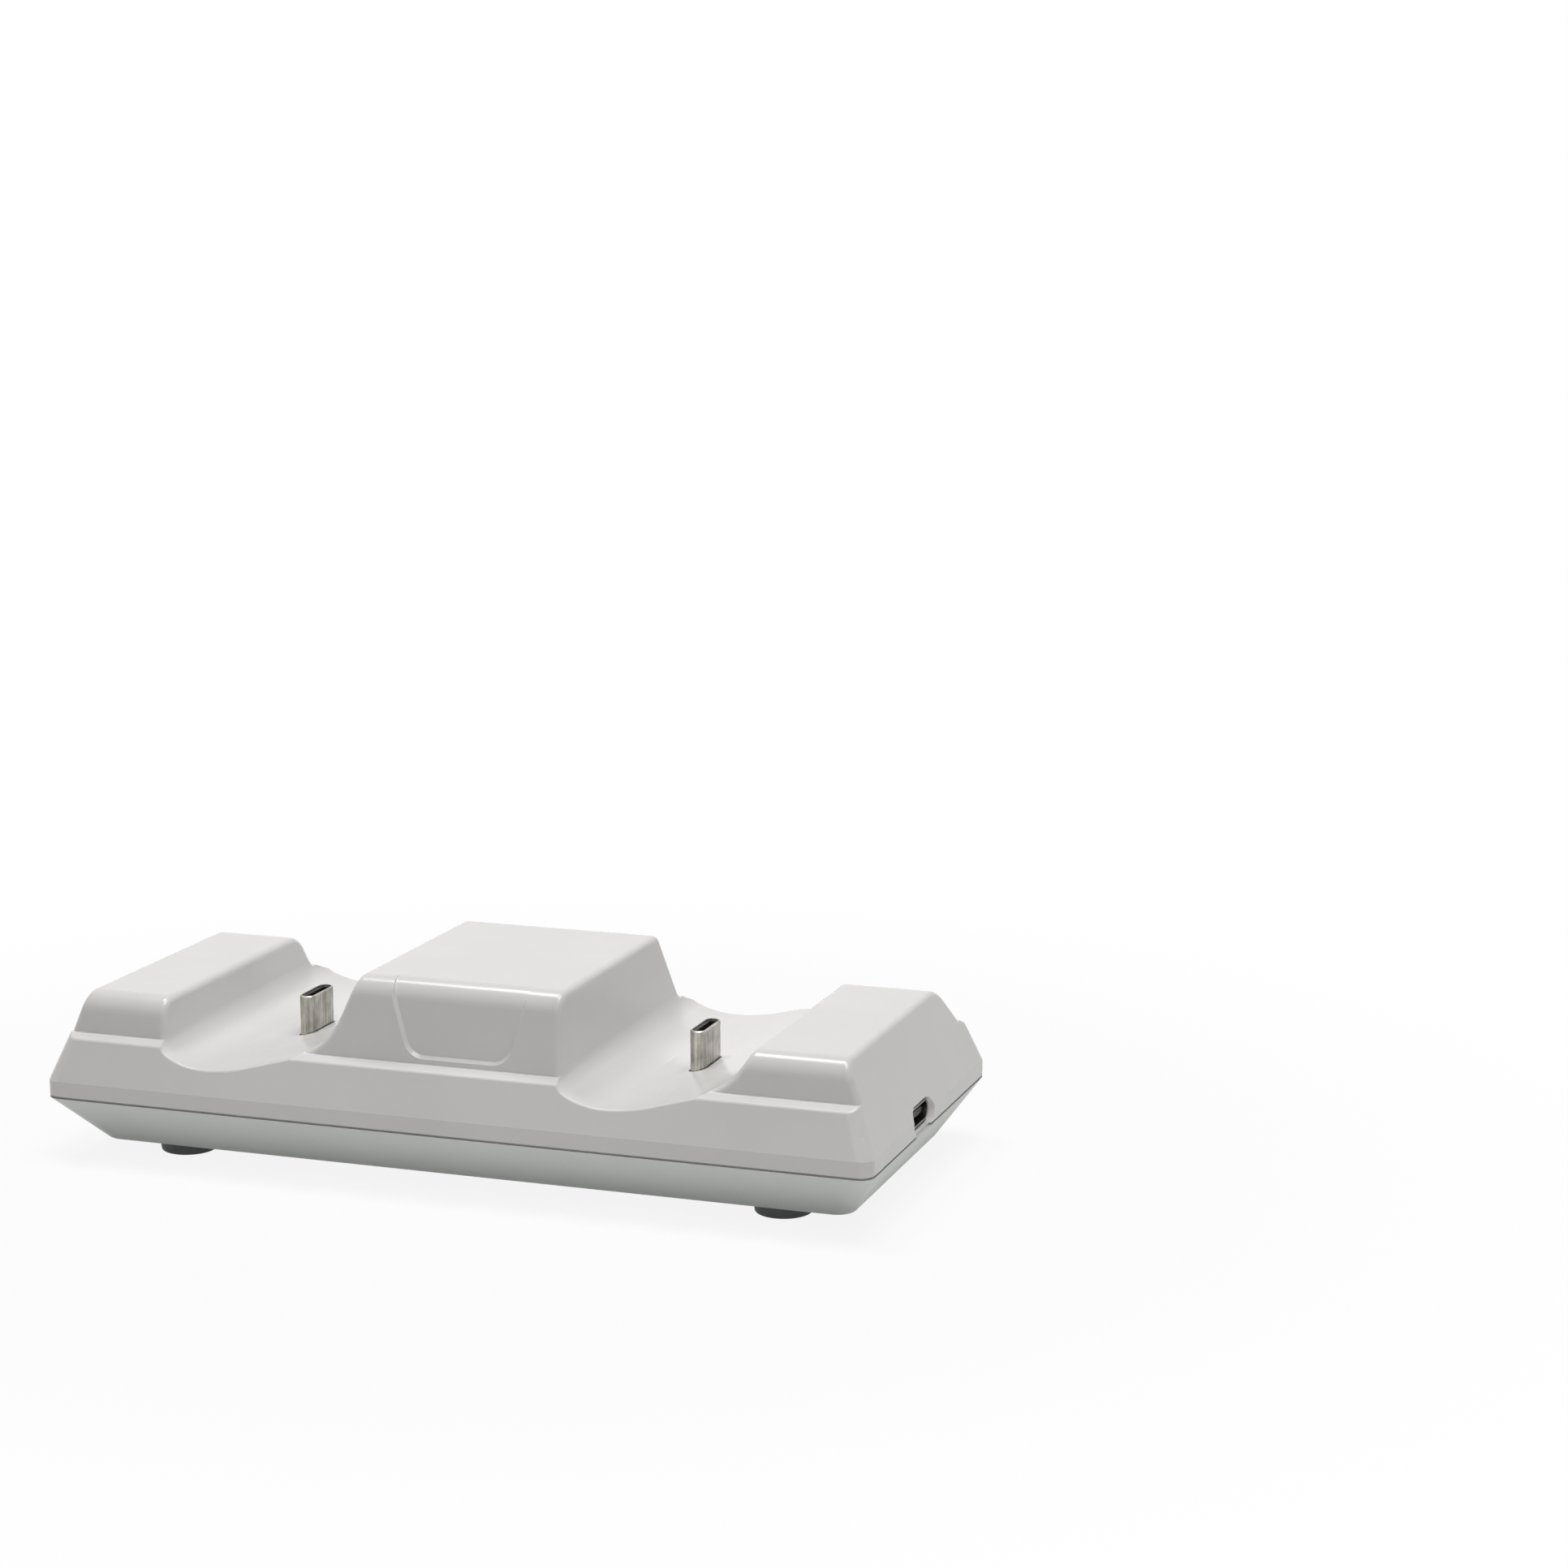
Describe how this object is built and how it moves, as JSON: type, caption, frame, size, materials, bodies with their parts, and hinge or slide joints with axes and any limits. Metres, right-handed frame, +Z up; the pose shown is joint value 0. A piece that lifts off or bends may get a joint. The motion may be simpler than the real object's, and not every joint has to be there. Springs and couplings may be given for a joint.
{
  "type": "controller charging dock",
  "caption": "White desk charging dock with open bays for game controllers, an upright metal charging plug in each bay and a power socket in one end",
  "frame": {"origin": "on the table under the middle of the housing", "axes": "+X along the dock towards the end with the power socket, +Y from the front to the back, +Z up"},
  "size_m": [0.133, 0.06, 0.032],
  "materials": {
    "housing": "moulded glossy white plastic",
    "guide": "milky clear plastic",
    "foot": "soft grey rubber",
    "plug_metal": "bright nickel plating",
    "dark_plastic": "black moulded plastic",
    "contact": "gold plating",
    "board": "green lacquer",
    "chip": "black moulded resin",
    "ferrite": "dark grey ferrite",
    "capacitor": "tan ceramic",
    "led": "pale resin lens",
    "screw": "zinc plating"
  },
  "bodies": {
    "root": {"top_shell": "housing", "bottom_tray": "housing", "light_guide": "guide", "foot_front_left": "foot", "foot_front_right": "foot", "foot_back_left": "foot", "foot_back_right": "foot", "left_plug_shell": "plug_metal", "right_plug_shell": "plug_metal", "socket_shell": "plug_metal", "left_plug_insulator": "dark_plastic", "right_plug_insulator": "dark_plastic", "socket_tongue": "dark_plastic", "left_plug_holder": "dark_plastic", "right_plug_holder": "dark_plastic", "left_plug_contacts": "contact", "right_plug_contacts": "contact", "socket_contacts": "contact", "main_board": "board", "left_charge_chip": "chip", "right_charge_chip": "chip", "sense_resistors": "chip", "left_inductor": "ferrite", "right_inductor": "ferrite", "input_capacitors": "capacitor", "left_led": "led", "right_led": "led", "board_screws": "screw", "case_screws": "screw"}
  },
  "joints": []
}
